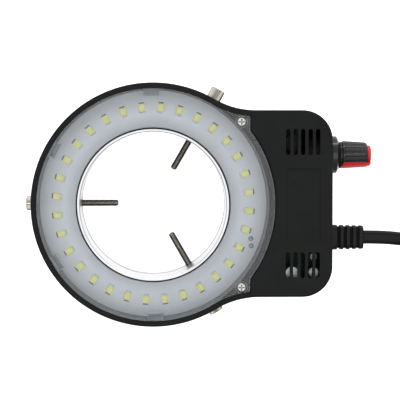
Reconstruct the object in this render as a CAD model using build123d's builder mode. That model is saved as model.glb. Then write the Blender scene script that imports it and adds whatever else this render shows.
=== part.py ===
from build123d import *
import os
from math import cos, radians, sin, sqrt

# LED ring light for a stereo microscope, lying on its back with the lamp face up.
# Millimetres. +Z runs along the bore and out of the lamp face, and z = 0 is the rear face.
# +X points from the bore to the driver box, which carries the dimmer knob and the mains cord.

os.makedirs("parts", exist_ok=True)

# ---- driving dimensions ----
height = 26.0  # rear face to front rim
wall = 2.4
floor = 2.4
ring_radius = 51.0
bore_radius = 30.5
box_right = 75.0  # outer face that carries the knob and the cord
box_top = 39.5  # the driver box sits a little off the bore's centre line
box_bottom = -38.7
box_corner = 12.7
neck_radius = 34.0  # concave blend between ring and driver box
rear_edge_round = 1.2
rim_edge_round = 0.5
cover_edge_round = 0.9

seam_x = 40.7  # where the driver box cover starts
seam_gap = 0.1
parting_z = 13.0  # the cover meets the housing here on the box sides
running_gap = 0.05  # radial clearance of anything that turns or slides
screw_gap = 0.02  # radial clearance of a fixed screw in its pilot hole

lens_thickness = 2.0
lens_z = height - 2.4  # underside of the lens
lens_inner = 32.25
lens_arc = 50.9  # lens edge beside the driver box cover
lens_side_gap = 0.06

board_thickness = 1.6
lamp_board_z = 12.4
lamp_board_top = lamp_board_z + board_thickness
lamp_wall = ring_radius - wall  # inner face of the ring's outer wall
led_count = 32
led_circle = 40.8
led_start = 6.8  # degrees
led_length = 3.5
led_width = 2.8
led_height = 0.75

sleeve_front_radius = 31.6  # thin front tube of the aluminium bore sleeve
sleeve_rear_radius = 34.6  # thick rear ring that carries the screw threads
sleeve_shoulder_z = 11.0
sleeve_gap = 0.05

thumb_angles = {"left": 180.0, "upper": 60.0, "lower": -60.0}
thumb_tips = {"left": 14.9, "upper": 16.7, "lower": 14.9}  # tip distance from the bore axis
thumb_z = 5.5
thumb_length = 39.5
thumb_head_length = 6.0
thumb_head_radius = 3.1
thumb_thread_radius = 1.5
thumb_pocket_radius = 3.7
thumb_pocket_floor = 46.0

clip_angles = (91.0, 151.0, 211.0, 271.0)
clip_radius = 46.9
clip_depth = 2.5
clip_width = 6.3
barb_z = 19.5
barb_height = 1.5
barb_reach = 1.0

lens_screw_points = [(36.9, 34.6), (36.9, -34.6)]
case_screw_points = [(47.5, 32.5), (47.5, -32.5), (68.6, 3.0)]
board_screw_points = [(55.2, -21.0), (55.2, 31.2), (68.8, -23.2)]

dimmer_y = 20.75
dimmer_z = 13.0
cord_y = -14.4
cord_z = 13.0
cord_width = 5.8
cord_thickness = 3.6

driver_board_z = 5.0
driver_top = driver_board_z + board_thickness

far = 120.0  # larger than the whole case, for trimming shapes
plate_z = height - floor  # underside of the cover's front plate


def case_outline(inset=0.0):
    """Plan outline of the whole case, ring and driver box together, shrunk by inset."""
    neck_x = sqrt(ring_radius**2 - ((box_top - box_bottom) / 2) ** 2)
    with BuildSketch() as outline:
        Circle(ring_radius)
        with Locations((box_right / 2, (box_top + box_bottom) / 2)):
            Rectangle(box_right, box_top - box_bottom)
        fillet(outline.vertices().filter_by(lambda v: abs(v.X - neck_x) < 1.0), neck_radius)
        fillet(outline.vertices().group_by(Axis.X)[-1], box_corner)
        if inset:
            offset(amount=-inset)
    return outline.sketch


def lamp_side(arc_radius, edge_x):
    """Everything left of edge_x, and everything inside the arc."""
    with BuildSketch() as region:
        Circle(arc_radius)
        with Locations((edge_x - far / 2, 0)):
            Rectangle(far, far)
    return region.sketch


def thumb_plane(side):
    """Plane across a thumb screw, its normal pointing outwards along the screw."""
    a = radians(thumb_angles[side])
    return Plane(origin=(0, 0, thumb_z), x_dir=(-sin(a), cos(a), 0), z_dir=(cos(a), sin(a), 0))


def clip_locations(radius):
    """The four snap clips of the lens, on a circle of this radius."""
    span = clip_angles[-1] - clip_angles[0]
    return PolarLocations(radius, len(clip_angles), clip_angles[0], span, endpoint=True)


def wall_plane(x):
    """Plane across the driver box wall: local x is Y, local y is Z, the normal points along +X."""
    return Plane.YZ.offset(x)


# ---- rear housing: ring shell and driver box tray in one moulding ----
seat_radius = 36.4  # shelf under the inner edge of the lamp board
inner_tube_radius = 32.2  # thin wall that backs the sleeve and stops at the lens edge
wall_opening = (8.1, 5.7)  # hole for the strain relief's neck
bushing_hole = 3.65
case_screw_recess = (2.7, 3.0)  # radius and depth
standoff_radius = 2.5
rib_angle = 31.0
lead_notch_z = (5.6, 11.6)

with BuildPart() as rear_housing:
    with BuildSketch():
        add(case_outline())
    extrude(amount=parting_z)
    with BuildSketch(Plane.XY.offset(parting_z)):
        add(case_outline())
        add(lamp_side(ring_radius, seam_x), mode=Mode.INTERSECT)
    extrude(amount=height - parting_z)
    fillet(rear_housing.edges().group_by(Axis.Z)[0], rear_edge_round)
    rim = rear_housing.edges().group_by(Axis.Z)[-1].filter_by(GeomType.CIRCLE)
    fillet(rim.filter_by(lambda e: e.center().X < seam_x), rim_edge_round)

    # lamp chamber, stepped so that the lamp board rests on the inner shelf
    with BuildSketch(Plane.XY.offset(floor)):
        Circle(lamp_wall)
        Circle(seat_radius, mode=Mode.SUBTRACT)
    extrude(amount=lamp_board_z - floor, mode=Mode.SUBTRACT)
    with BuildSketch(Plane.XY.offset(lamp_board_z)):
        Circle(lamp_wall)
        Circle(inner_tube_radius, mode=Mode.SUBTRACT)
    extrude(amount=lens_z - lamp_board_z, mode=Mode.SUBTRACT)

    # rebate for the lens
    with BuildSketch(Plane.XY.offset(lens_z)):
        add(case_outline(wall))
        Circle(inner_tube_radius, mode=Mode.SUBTRACT)
    extrude(amount=height - lens_z, mode=Mode.SUBTRACT)

    # stepped hole for the aluminium sleeve
    with BuildSketch():
        Circle(sleeve_rear_radius + sleeve_gap)
    extrude(amount=sleeve_shoulder_z, mode=Mode.SUBTRACT)
    with BuildSketch():
        Circle(sleeve_front_radius + sleeve_gap)
    extrude(amount=height, mode=Mode.SUBTRACT)

    # ribs under the outer edge of the lamp board
    with BuildSketch(Plane.XY.offset(floor)):
        with PolarLocations(lamp_wall - 1.2, 6, rib_angle):
            Rectangle(2.6, 1.6)
    extrude(amount=lamp_board_z - floor)

    # pockets in the wall that the lens clips snap into
    with BuildSketch(Plane.XY.offset(barb_z - 0.2)):
        with clip_locations(lamp_wall + 0.2):
            Rectangle(1.4, clip_width + 1.0)
    extrude(amount=barb_height + 0.4, mode=Mode.SUBTRACT)

    # driver box tray
    with BuildSketch(Plane.XY.offset(floor)):
        add(case_outline(wall))
        Circle(ring_radius, mode=Mode.SUBTRACT)
        with Locations((seam_x + wall - far / 2, 0)):
            Rectangle(far, far, mode=Mode.SUBTRACT)
    extrude(amount=height, mode=Mode.SUBTRACT)
    with BuildSketch(Plane.XY.offset(floor)):
        with Locations(*case_screw_points):
            Circle(case_screw_recess[0] + 1.0)
    extrude(amount=parting_z - floor)
    with BuildSketch(Plane.XY.offset(floor)):
        with Locations(*board_screw_points):
            Circle(standoff_radius)
    extrude(amount=driver_board_z - floor)

    # screw holes
    with BuildSketch():
        with Locations(*case_screw_points):
            Circle(case_screw_recess[0])
    extrude(amount=case_screw_recess[1], mode=Mode.SUBTRACT)
    with BuildSketch():
        with Locations(*case_screw_points):
            Circle(1.45)
    extrude(amount=parting_z, mode=Mode.SUBTRACT)
    with BuildSketch(Plane.XY.offset(driver_board_z)):
        with Locations(*board_screw_points):
            Circle(1.0 + screw_gap)
    extrude(amount=-3.6, mode=Mode.SUBTRACT)
    with BuildSketch(Plane.XY.offset(lens_z)):
        with Locations(*lens_screw_points):
            Circle(1.1 + screw_gap)
    extrude(amount=-8.0, mode=Mode.SUBTRACT)

    # lower halves of the dimmer hole and the cord opening
    with BuildSketch(wall_plane(box_right + 1)):
        with Locations((dimmer_y, dimmer_z)):
            Circle(bushing_hole)
        with Locations((cord_y, cord_z)):
            RectangleRounded(*wall_opening, 1.2)
    extrude(amount=-(wall + 2), mode=Mode.SUBTRACT)

    # notch through the partition for the lamp leads
    with BuildSketch(Plane.XY.offset(lead_notch_z[0])):
        with Locations((lamp_wall - 1.4, -16.8)):
            Rectangle(7.0, 6.6)
    extrude(amount=lead_notch_z[1] - lead_notch_z[0], mode=Mode.SUBTRACT)

    # sockets for the thumb screw heads, and clearance holes for their threads
    for side in thumb_angles:
        with BuildSketch(thumb_plane(side).offset(thumb_pocket_floor - 2.0)):
            Circle(thumb_pocket_radius + 1.2)
        extrude(amount=ring_radius - thumb_pocket_floor + 0.5)
        with BuildSketch(thumb_plane(side).offset(thumb_pocket_floor)):
            Circle(thumb_pocket_radius)
        extrude(amount=2 * wall + 4, mode=Mode.SUBTRACT)
        with BuildSketch(thumb_plane(side).offset(bore_radius)):
            Circle(thumb_thread_radius + 0.3)
        extrude(amount=ring_radius - bore_radius, mode=Mode.SUBTRACT)

# ---- driver box cover with its cooling slots ----
cover_arc = ring_radius + 0.15
vent_x = 62.5
vent_rows = (26.2, -25.3)  # middle of the upper and lower group of slots
vent_pitch = 3.12
vent_length = 10.9
vent_width = 1.8
label_size = (14.2, 30.0)
label_depth = 0.3

with BuildPart() as box_cover:
    with BuildSketch(Plane.XY.offset(parting_z)):
        add(case_outline())
        Circle(cover_arc, mode=Mode.SUBTRACT)
        with Locations((seam_x + seam_gap - far / 2, 0)):
            Rectangle(far, far, mode=Mode.SUBTRACT)
    extrude(amount=height - parting_z)
    front_edges = box_cover.edges().group_by(Axis.Z)[-1]
    fillet(front_edges.filter_by(lambda e: e.center().X > seam_x + 1.5), cover_edge_round)
    with BuildSketch(Plane.XY.offset(parting_z)):
        add(case_outline(wall))
        Circle(cover_arc, mode=Mode.SUBTRACT)
        with Locations((seam_x + seam_gap + wall - far / 2, 0)):
            Rectangle(far, far, mode=Mode.SUBTRACT)
    extrude(amount=plate_z - parting_z, mode=Mode.SUBTRACT)
    with BuildSketch(Plane.XY.offset(parting_z)):
        with Locations(*case_screw_points):
            Circle(3.0)
    extrude(amount=plate_z - parting_z)
    with BuildSketch(Plane.XY.offset(parting_z)):
        with Locations(*case_screw_points):
            Circle(1.3 + screw_gap)
    extrude(amount=5.0, mode=Mode.SUBTRACT)

    # cooling slots and the blank label recess
    for vent_y in vent_rows:
        with BuildSketch(Plane.XY.offset(plate_z)):
            with Locations((vent_x, vent_y)):
                with GridLocations(vent_pitch, 1, 5, 1):
                    SlotOverall(vent_length, vent_width, rotation=90)
        extrude(amount=2 * floor, mode=Mode.SUBTRACT)
    with BuildSketch(Plane.XY.offset(height - label_depth)):
        with Locations((vent_x + 0.2, 0)):
            RectangleRounded(*label_size, 1.0)
    extrude(amount=1, mode=Mode.SUBTRACT)

    # upper halves of the dimmer hole and the cord opening
    with BuildSketch(wall_plane(box_right + 1)):
        with Locations((dimmer_y, dimmer_z)):
            Circle(bushing_hole)
        with Locations((cord_y, cord_z)):
            RectangleRounded(*wall_opening, 1.2)
    extrude(amount=-(wall + 2), mode=Mode.SUBTRACT)

# ---- aluminium bore sleeve, relieved where the screws come through ----
relief_radius = bore_radius + 0.7
relief_bottom = thumb_z - 2.1
relief_top = thumb_z + 2.1
bore_chamfer = 0.3

with BuildPart() as bore_sleeve:
    with BuildSketch(Plane.XZ):
        with BuildLine():
            Polyline(
                (bore_radius + bore_chamfer, 0),
                (sleeve_rear_radius - bore_chamfer, 0),
                (sleeve_rear_radius, bore_chamfer),
                (sleeve_rear_radius, sleeve_shoulder_z),
                (sleeve_front_radius, sleeve_shoulder_z),
                (sleeve_front_radius, height),
                (bore_radius + bore_chamfer, height),
                (bore_radius, height - bore_chamfer),
                (bore_radius, relief_top),
                (relief_radius, relief_top - 0.4),
                (relief_radius, relief_bottom + 0.4),
                (bore_radius, relief_bottom),
                (bore_radius, bore_chamfer),
                close=True,
            )
        make_face()
    revolve(axis=Axis.Z)
    for side in thumb_angles:
        with BuildSketch(thumb_plane(side).offset(bore_radius - 2)):
            Circle(thumb_thread_radius + running_gap)
        extrude(amount=8, mode=Mode.SUBTRACT)

# ---- clear lens with its ears, legs and snap barbs ----
lens_recess = (2.4, 1.2)  # radius and depth of the screw recess
leg_bottom = lamp_board_top + 0.05

with BuildPart() as front_lens:
    with BuildSketch(Plane.XY.offset(lens_z)) as lens_plan:
        add(case_outline(wall + lens_side_gap))
        add(lamp_side(lens_arc, seam_x - 0.2), mode=Mode.INTERSECT)
        Circle(lens_inner, mode=Mode.SUBTRACT)
        ear_corners = lens_plan.vertices().filter_by(lambda v: abs(v.X - seam_x + 0.2) < 0.01)
        fillet(ear_corners, 0.9)
    extrude(amount=lens_thickness)
    chamfer(front_lens.edges().group_by(Axis.Z)[-1], 0.25)
    with BuildSketch(Plane.XY.offset(leg_bottom)):
        with clip_locations(clip_radius):
            Rectangle(clip_depth, clip_width)
    extrude(amount=lens_z - leg_bottom)
    with BuildSketch(Plane.XY.offset(barb_z)):
        with clip_locations(clip_radius + clip_depth / 2 + barb_reach / 2 - 0.1):
            Rectangle(barb_reach, clip_width)
    extrude(amount=barb_height)
    with BuildSketch(Plane.XY.offset(height - 0.4)):
        with Locations(*lens_screw_points):
            Circle(lens_recess[0])
    extrude(amount=-lens_recess[1], mode=Mode.SUBTRACT)
    with BuildSketch(Plane.XY.offset(lens_z)):
        with Locations(*lens_screw_points):
            Circle(1.3)
    extrude(amount=lens_thickness, mode=Mode.SUBTRACT)


# ---- cross-head screws ----
def cross_head_screws(points, bearing_z, up, head_radius, head_height, shank_radius, shank_length):
    """Pan-head screws at the points. The head sits on bearing_z and faces up (1) or down (-1)."""
    slot = (1.3 * head_radius, 0.3 * head_radius)
    with BuildPart() as screws:
        with BuildSketch(Plane.XY.offset(bearing_z)):
            with Locations(*points):
                Circle(head_radius)
        extrude(amount=up * head_height)
        crown = screws.edges().filter_by(GeomType.CIRCLE).sort_by(Axis.Z)
        crown = crown[-len(points):] if up > 0 else crown[:len(points)]
        fillet(crown, 0.45 * head_height)
        with BuildSketch(Plane.XY.offset(bearing_z + up * head_height)):
            with Locations(*points):
                Rectangle(*slot)
                Rectangle(*reversed(slot))
        extrude(amount=-up * 0.6 * head_height, mode=Mode.SUBTRACT)
        with BuildSketch(Plane.XY.offset(bearing_z)):
            with Locations(*points):
                Circle(shank_radius)
        extrude(amount=-up * shank_length)
    return screws


lens_screw_seat = height - 0.4 - lens_recess[1]
lens_screws = cross_head_screws(lens_screw_points, lens_screw_seat, 1, 1.9, 1.3, 1.1, 7.4)
case_screws = cross_head_screws(case_screw_points, case_screw_recess[1], -1, 2.4, 1.8, 1.3, 14.0)
board_screws = cross_head_screws(board_screw_points, driver_top, 1, 1.9, 1.3, 1.0, 4.6)

# ---- lamp board, its light-emitting diodes and their leads ----
lead_points = {"positive": (41.4, -14.9), "negative": (41.6, -18.0)}
window = (3.0, 2.3)
window_depth = 0.4
terminal = (0.5, 2.2)
terminal_height = 0.35

with BuildPart() as lamp_board:
    with BuildSketch(Plane.XY.offset(lamp_board_z)):
        Circle(48.0)
        Circle(inner_tube_radius + 0.1, mode=Mode.SUBTRACT)
        with Locations(*lead_points.values()):
            Circle(0.6, mode=Mode.SUBTRACT)
    extrude(amount=board_thickness)

with BuildPart() as led_packages:
    with BuildSketch(Plane.XY.offset(lamp_board_top)):
        with PolarLocations(led_circle, led_count, led_start):
            Rectangle(led_length, led_width)
    extrude(amount=led_height)
    with BuildSketch(Plane.XY.offset(lamp_board_top + led_height)):
        with PolarLocations(led_circle, led_count, led_start):
            Rectangle(*window)
    extrude(amount=-window_depth, mode=Mode.SUBTRACT)

with BuildPart() as led_phosphors:
    with BuildSketch(Plane.XY.offset(lamp_board_top + led_height - window_depth)):
        with PolarLocations(led_circle, led_count, led_start):
            Rectangle(*window)
    extrude(amount=window_depth - 0.03)

with BuildPart() as led_terminals:
    with BuildSketch(Plane.XY.offset(lamp_board_top)):
        for end in (1, -1):
            with PolarLocations(led_circle + end * (led_length + terminal[0]) / 2, led_count, led_start):
                Rectangle(*terminal)
    extrude(amount=terminal_height)

with BuildPart() as solder_joints:
    with BuildSketch(Plane.XY.offset(lamp_board_top)):
        with Locations(*lead_points.values()):
            Circle(1.1)
    extrude(amount=0.8)
    crowns = solder_joints.edges().filter_by(GeomType.CIRCLE).sort_by(Axis.Z)[-2:]
    fillet(crowns, 0.65)
    with BuildSketch(Plane.XY.offset(lamp_board_top)):
        with Locations(*lead_points.values()):
            Circle(0.4)
    extrude(amount=-board_thickness)


def wire(points, start_dir, end_dir, radius):
    """Round wire through the points, leaving and arriving along the given directions."""
    with BuildPart() as strand:
        with BuildLine() as run:
            Spline(*points, tangents=(start_dir, end_dir))
        with BuildSketch(Plane(origin=run.line @ 0, z_dir=run.line % 0)):
            Circle(radius)
        sweep()
    return strand


up = (0, 0, 1)
down = (0, 0, -1)
lead_radius = 0.5
led_lead_positive = wire(
    [(53.4, -16.2, driver_top), (50.2, -15.9, 8.2), (45.5, -15.2, 8.4), (41.4, -14.9, 12.35)],
    up, up, lead_radius,
)
led_lead_negative = wire(
    [(53.4, -18.1, driver_top), (50.0, -18.1, 8.2), (45.5, -18.1, 8.4), (41.6, -18.0, 12.35)],
    up, up, lead_radius,
)

# ---- driver board and its components ----
board_left = 52.0
board_mid = 63.4
board_right = 71.4
board_half = 34.0
board_shelf = -20.6  # the board's wider part lies below this

with BuildPart() as driver_board:
    with BuildSketch(Plane.XY.offset(driver_board_z)):
        with BuildLine():
            Polyline(
                (board_left, -board_half),
                (board_right - 5, -board_half),
                (board_right, -board_half + 5),
                (board_right, board_shelf),
                (board_mid, board_shelf),
                (board_mid, board_half),
                (board_left, board_half),
                close=True,
            )
        make_face()
        with Locations(*board_screw_points):
            Circle(1.15, mode=Mode.SUBTRACT)
    extrude(amount=board_thickness)

coil_centre = (57.6, -7.5)
coil_size = (8.6, 11.0)
core_limb = 2.6

with BuildPart() as transformer_coil:
    with BuildSketch(Plane.XY.offset(driver_top)):
        with Locations(coil_centre):
            RectangleRounded(*coil_size, 1.2)
            Rectangle(core_limb, core_limb, mode=Mode.SUBTRACT)
    extrude(amount=9.6)

with BuildPart() as transformer_core:
    with BuildSketch(Plane.XY.offset(driver_top + 9.6)):
        with Locations(coil_centre):
            Rectangle(core_limb + 0.4, coil_size[1] + 2 * core_limb)
    extrude(amount=core_limb)
    with BuildSketch(Plane.XY.offset(driver_top)):
        with Locations(coil_centre):
            Rectangle(core_limb - 0.1, core_limb - 0.1)
            for end in (1, -1):
                with Locations((0, end * (coil_size[1] + core_limb + 0.1) / 2)):
                    Rectangle(core_limb + 0.4, core_limb - 0.1)
    extrude(amount=9.6)

can_points = [(58.7, -29.4), (67.9, -29.2)]
can_radii = [3.0, 2.35]
can_height = 11.0
can_film = 0.15

with BuildPart() as capacitor_cans:
    for point, radius in zip(can_points, can_radii):
        with BuildSketch(Plane.XY.offset(driver_top)):
            with Locations(point):
                Circle(radius)
        extrude(amount=can_height)
    fillet(capacitor_cans.edges().group_by(Axis.Z)[-1], 0.4)

with BuildPart() as capacitor_sleeves:
    for point, radius in zip(can_points, can_radii):
        with BuildSketch(Plane.XY.offset(driver_top)):
            with Locations(point):
                Circle(radius + can_film)
                Circle(radius, mode=Mode.SUBTRACT)
        extrude(amount=can_height - 0.5)

with BuildPart() as bridge_rectifier:
    with BuildSketch(Plane.XY.offset(driver_top)):
        with Locations((60.9, -19.6)):
            Rectangle(4.4, 3.6)
    extrude(amount=2.4)
    chamfer(bridge_rectifier.edges().group_by(Axis.Z)[-1], 0.3)

with BuildPart() as fuse:
    with BuildSketch(Plane.XY.offset(driver_top)):
        with Locations((57.0, 4.6)):
            Circle(4.0)
    extrude(amount=7.6)
    fillet(fuse.edges().group_by(Axis.Z)[-1], 0.6)

with BuildPart() as controller_chip:
    with BuildSketch(Plane.XY.offset(driver_top + 0.2)):
        with Locations((57.6, 15.4)):
            Rectangle(3.9, 4.9)
    extrude(amount=1.5)
    chamfer(controller_chip.edges().group_by(Axis.Z)[-1], 0.2)
    with BuildSketch(Plane.XY.offset(driver_top)):
        with Locations((57.6, 15.4)):
            with GridLocations(5.0, 1.27, 2, 4):
                Rectangle(1.3, 0.42)
    extrude(amount=0.5)

with BuildPart() as choke:
    with BuildSketch(Plane.XY.offset(driver_top)):
        with Locations((59.4, 25.6)):
            Circle(3.6)
    extrude(amount=1.2)
    with BuildSketch(Plane.XY.offset(driver_top + 1.2)):
        with Locations((59.4, 25.6)):
            Circle(2.9)
    extrude(amount=5.0)
    with BuildSketch(Plane.XY.offset(driver_top + 6.2)):
        with Locations((59.4, 25.6)):
            Circle(3.6)
    extrude(amount=1.2)

# ---- dimmer potentiometer ----
inside_face = box_right - wall
pot_radius = 8.2
pot_depth = 8.2
shaft_radius = 3.0
bushing_radius = 3.5
bushing_end = box_right + 5.0
wiper_radius = 6.0
washer_end = box_right + 0.5
nut_end = washer_end + 1.8
dimmer_axis = Axis((0, dimmer_y, dimmer_z), (1, 0, 0))
wiper_x = inside_face - 5.6


def dimmer_circle(x, radius):
    """Round face across the dimmer axis at x."""
    with BuildSketch(wall_plane(x)) as disc:
        with Locations((dimmer_y, dimmer_z)):
            Circle(radius)
    return disc.sketch


def dimmer_bore(x_from, x_to, radius):
    """Cut a round hole along the dimmer axis in the part being built."""
    extrude(dimmer_circle(x_from, radius), amount=x_to - x_from, mode=Mode.SUBTRACT)


with BuildPart() as pot_body:
    extrude(dimmer_circle(inside_face - pot_depth, pot_radius), amount=pot_depth - 0.8)
    fillet(pot_body.edges().group_by(Axis.X)[0], 0.8)
    with BuildSketch(wall_plane(inside_face - 0.8)):
        with Locations((dimmer_y, dimmer_z)):
            RectangleRounded(11.4, 16.8, 1.5)
    extrude(amount=0.8)
    dimmer_bore(wiper_x - 0.3, wiper_x + 1.5, wiper_radius + 0.3)
    dimmer_bore(wiper_x, inside_face, shaft_radius + running_gap)

with BuildPart() as pot_bushing:
    extrude(dimmer_circle(inside_face, bushing_radius), amount=bushing_end - inside_face)
    chamfer(pot_bushing.edges().group_by(Axis.X)[-1], 0.4)
    dimmer_bore(inside_face, bushing_end, shaft_radius + running_gap)

with BuildPart() as pot_washer:
    extrude(dimmer_circle(box_right, 5.7), amount=washer_end - box_right)
    dimmer_bore(box_right, washer_end, bushing_radius + 0.05)

with BuildPart() as pot_nut:
    with BuildSketch(wall_plane(washer_end)):
        with Locations((dimmer_y, dimmer_z)):
            RegularPolygon(5.0, 6, major_radius=False)
    extrude(amount=nut_end - washer_end)
    dimmer_bore(washer_end, nut_end, bushing_radius + screw_gap)

terminal_heights = (dimmer_z - 5.0, dimmer_z, dimmer_z + 5.0)
terminal_x = inside_face - 2.2
terminal_thickness = 0.6
terminal_half_width = 0.9
terminal_tip_y = 8.2

with BuildPart() as pot_terminals:
    for z in terminal_heights:
        edge = max(abs(z - dimmer_z) - terminal_half_width, 0)
        root_y = dimmer_y - sqrt(pot_radius**2 - edge**2) - 0.02
        with BuildSketch(Plane.XZ.offset(-root_y)):
            with Locations((terminal_x, z)):
                Rectangle(terminal_thickness, 2 * terminal_half_width)
        extrude(amount=root_y - terminal_tip_y)

# each lead runs from its terminal by way of a middle point to the driver board
lead_ways = [((66.4, 8.9, 8.2), 8.2), ((65.6, 9.8, 11.2), 10.0), ((64.8, 11.0, 14.6), 11.6)]
terminal_face = terminal_x - terminal_thickness / 2 - 0.02
terminal_leads = []
for z, (middle, board_y) in zip(terminal_heights, lead_ways):
    points = [(terminal_face, terminal_tip_y + 1, z), middle, (62.4, board_y, driver_top)]
    terminal_leads.append(wire(points, (-1, 0, 0), down, 0.4))

# ---- turning parts: pot shaft and two-colour knob ----
knob_back = box_right + 0.3
skirt_radius = 7.95
skirt_end = box_right + 2.6
cone_end = box_right + 3.8
grip_start = box_right + 5.0
grip_end = box_right + 15.9
cap_end = box_right + 17.3
collar_radius = 5.9  # the grip tapers from here to the tip radius
collar_end = grip_start + 0.9
tip_radius = 5.3
core_radius = 4.0
pointer_y = 3.2  # the red pointer fills the knob beyond this distance from the axis
pointer_slope = 1.9  # its inner end leans back along the axis by this much
flute_count = 18
flute_radius = 0.95
flute_depth = 0.32
shaft_end = box_right + 14.1
recess_radius = 5.95
recess_end = nut_end + 0.1
hub_start = bushing_end + 0.4

with BuildPart() as pot_shaft:
    extrude(dimmer_circle(wiper_x, wiper_radius), amount=1.2)
    extrude(dimmer_circle(wiper_x, shaft_radius), amount=shaft_end - wiper_x)
    chamfer(pot_shaft.edges().group_by(Axis.X)[-1], 0.4)


def knob_profile(points):
    """Solid of revolution on the dimmer axis, from (x, radius) points with both ends on the axis."""
    with BuildPart() as turned:
        with BuildSketch(Plane.XY.offset(dimmer_z)):
            with BuildLine():
                Polyline(*[(x, dimmer_y + radius) for x, radius in points], close=True)
            make_face()
        revolve(axis=dimmer_axis)
    return turned.part


def pointer_space():
    """Everything beyond pointer_y from the dimmer axis on the pointer's side, with its sloping inner end."""
    edge_y = dimmer_y - pointer_y
    outside_y = dimmer_y - skirt_radius
    with BuildPart() as space:
        with BuildSketch(Plane.XY.offset(dimmer_z - skirt_radius)):
            with BuildLine():
                Polyline(
                    (cone_end, dimmer_y - collar_radius),
                    (cone_end + pointer_slope, edge_y),
                    (cap_end + 1, edge_y),
                    (cap_end + 1, outside_y),
                    (cone_end, outside_y),
                    close=True,
                )
            make_face()
        extrude(amount=2 * skirt_radius)
    return space.part


def flute_at(angle):
    """Cutter for one flute of the grip, tapered with it, at an angle from +Z about the dimmer axis."""
    with BuildPart() as cutter:
        for x, radius in ((collar_end, collar_radius), (grip_end, tip_radius)):
            with BuildSketch(wall_plane(x)):
                with Locations((dimmer_y, dimmer_z + radius - flute_depth + flute_radius)):
                    Circle(flute_radius)
        loft()
    return cutter.part.rotate(dimmer_axis, angle)


knob_body_points = [
    (knob_back, 0),
    (knob_back, skirt_radius - 0.3),
    (knob_back + 0.3, skirt_radius),
    (skirt_end, skirt_radius),
    (cone_end, 5.9),
    (cone_end + 0.3, 5.5),
    (grip_start, 5.5),
    (grip_start + 0.3, collar_radius),
    (collar_end, collar_radius),
    (grip_end - 1.1, tip_radius),
    (grip_end - 0.3, tip_radius - 0.4),
    (grip_end, tip_radius - 1.0),
    (grip_end, 0),
]

with BuildPart() as knob_grip:
    add(knob_profile(knob_body_points))
    for i in range(flute_count):
        add(flute_at((i + 0.5) * 360 / flute_count), mode=Mode.SUBTRACT)
    add(pointer_space(), mode=Mode.SUBTRACT)
    dimmer_bore(knob_back, recess_end, recess_radius)
    dimmer_bore(knob_back, hub_start, bushing_radius + 0.3)
    dimmer_bore(hub_start, grip_end, core_radius)

pointer_points = [
    (cone_end, 0),
    (cone_end, 5.9),
    (grip_start, collar_radius),
    (collar_end, collar_radius),
    (grip_end - 0.4, tip_radius),
    (grip_end + 0.3, 5.0),
    (cap_end - 0.5, 4.9),
    (cap_end, 4.4),
    (cap_end, 0),
]

hub_points = [
    (hub_start, 0),
    (hub_start, core_radius),
    (cap_end - 0.5, core_radius),
    (cap_end - 0.15, core_radius - 0.15),
    (cap_end, core_radius - 0.5),
    (cap_end, 0),
]

with BuildPart() as knob_core:
    add(knob_profile(pointer_points))
    add(pointer_space(), mode=Mode.INTERSECT)
    add(knob_profile(hub_points))
    dimmer_bore(knob_back, hub_start, bushing_radius + 0.3)
    dimmer_bore(hub_start, shaft_end + 0.1, shaft_radius + screw_gap)

# ---- strain relief, cord and plug ----
boot_length = 14.3
boot_width = 10.6
boot_height = 7.6
boot_taper = 0.65
groove_pitch = 2.7
groove_width = 1.45
first_groove = 2.95
groove_core = (9.3, 4.7)  # the boot's section at the bottom of its grooves
flange = (10.6, 8.6)
cord_clearance = 0.02
jacket_start = 67.0

with BuildPart() as strain_relief:
    with BuildSketch(wall_plane(box_right)):
        with Locations((cord_y, cord_z)):
            RectangleRounded(boot_width, boot_height, 2.2)
    with BuildSketch(wall_plane(box_right + boot_length)):
        with Locations((cord_y, cord_z)):
            RectangleRounded(boot_width - boot_taper, boot_height - boot_taper, 2.2)
    loft()
    fillet(strain_relief.edges().group_by(Axis.X)[-1], 0.7)
    with BuildSketch(wall_plane(inside_face)):
        with Locations((cord_y, cord_z)):
            RectangleRounded(wall_opening[0] - 0.1, wall_opening[1] - 0.1, 1.1)
    extrude(amount=wall)
    with BuildSketch(wall_plane(inside_face - 2.0)):
        with Locations((cord_y, cord_z)):
            RectangleRounded(*flange, 1.5)
    extrude(amount=2.0)
    for i in range(4):
        with BuildSketch(wall_plane(box_right + first_groove + i * groove_pitch)):
            with Locations((cord_y, cord_z)):
                Rectangle(boot_width + 1, boot_height + 1)
                RectangleRounded(*groove_core, 1.4, mode=Mode.SUBTRACT)
        extrude(amount=groove_width, mode=Mode.SUBTRACT)
    with BuildSketch(wall_plane(inside_face - 3)):
        with Locations((cord_y, cord_z)):
            SlotOverall(cord_width + 2 * cord_clearance, cord_thickness + 2 * cord_clearance)
    extrude(amount=boot_length + 10, mode=Mode.SUBTRACT)

plug_x = 133.0
plug_z = 6.85
plug_cord_y = -50.0  # where the cord enters the plug
plug_length = 36.0
plug_face_y = plug_cord_y - plug_length
pin_radius = 2.0
pin_spacing = 19.0
pin_length = 19.0
pin_sleeve_length = 10.0

cord_exit = Plane(origin=(box_right + boot_length, cord_y, cord_z), x_dir=(0, 1, 0), z_dir=(1, 0, 0))

with BuildPart() as power_cord:
    with BuildLine() as cord_run:
        Spline(
            cord_exit.origin,
            (105.0, cord_y - 0.8, 12.4),
            (124.0, cord_y - 8.5, 9.2),
            (plug_x, plug_cord_y + 12, plug_z + 0.1),
            (plug_x, plug_cord_y - 8, plug_z),
            tangents=((1, 0, 0), (0, -1, 0)),
        )
    with BuildSketch(cord_exit) as cord_section:
        SlotOverall(cord_width, cord_thickness)
    sweep()
    extrude(cord_section.sketch, amount=-(box_right + boot_length - jacket_start))

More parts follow.
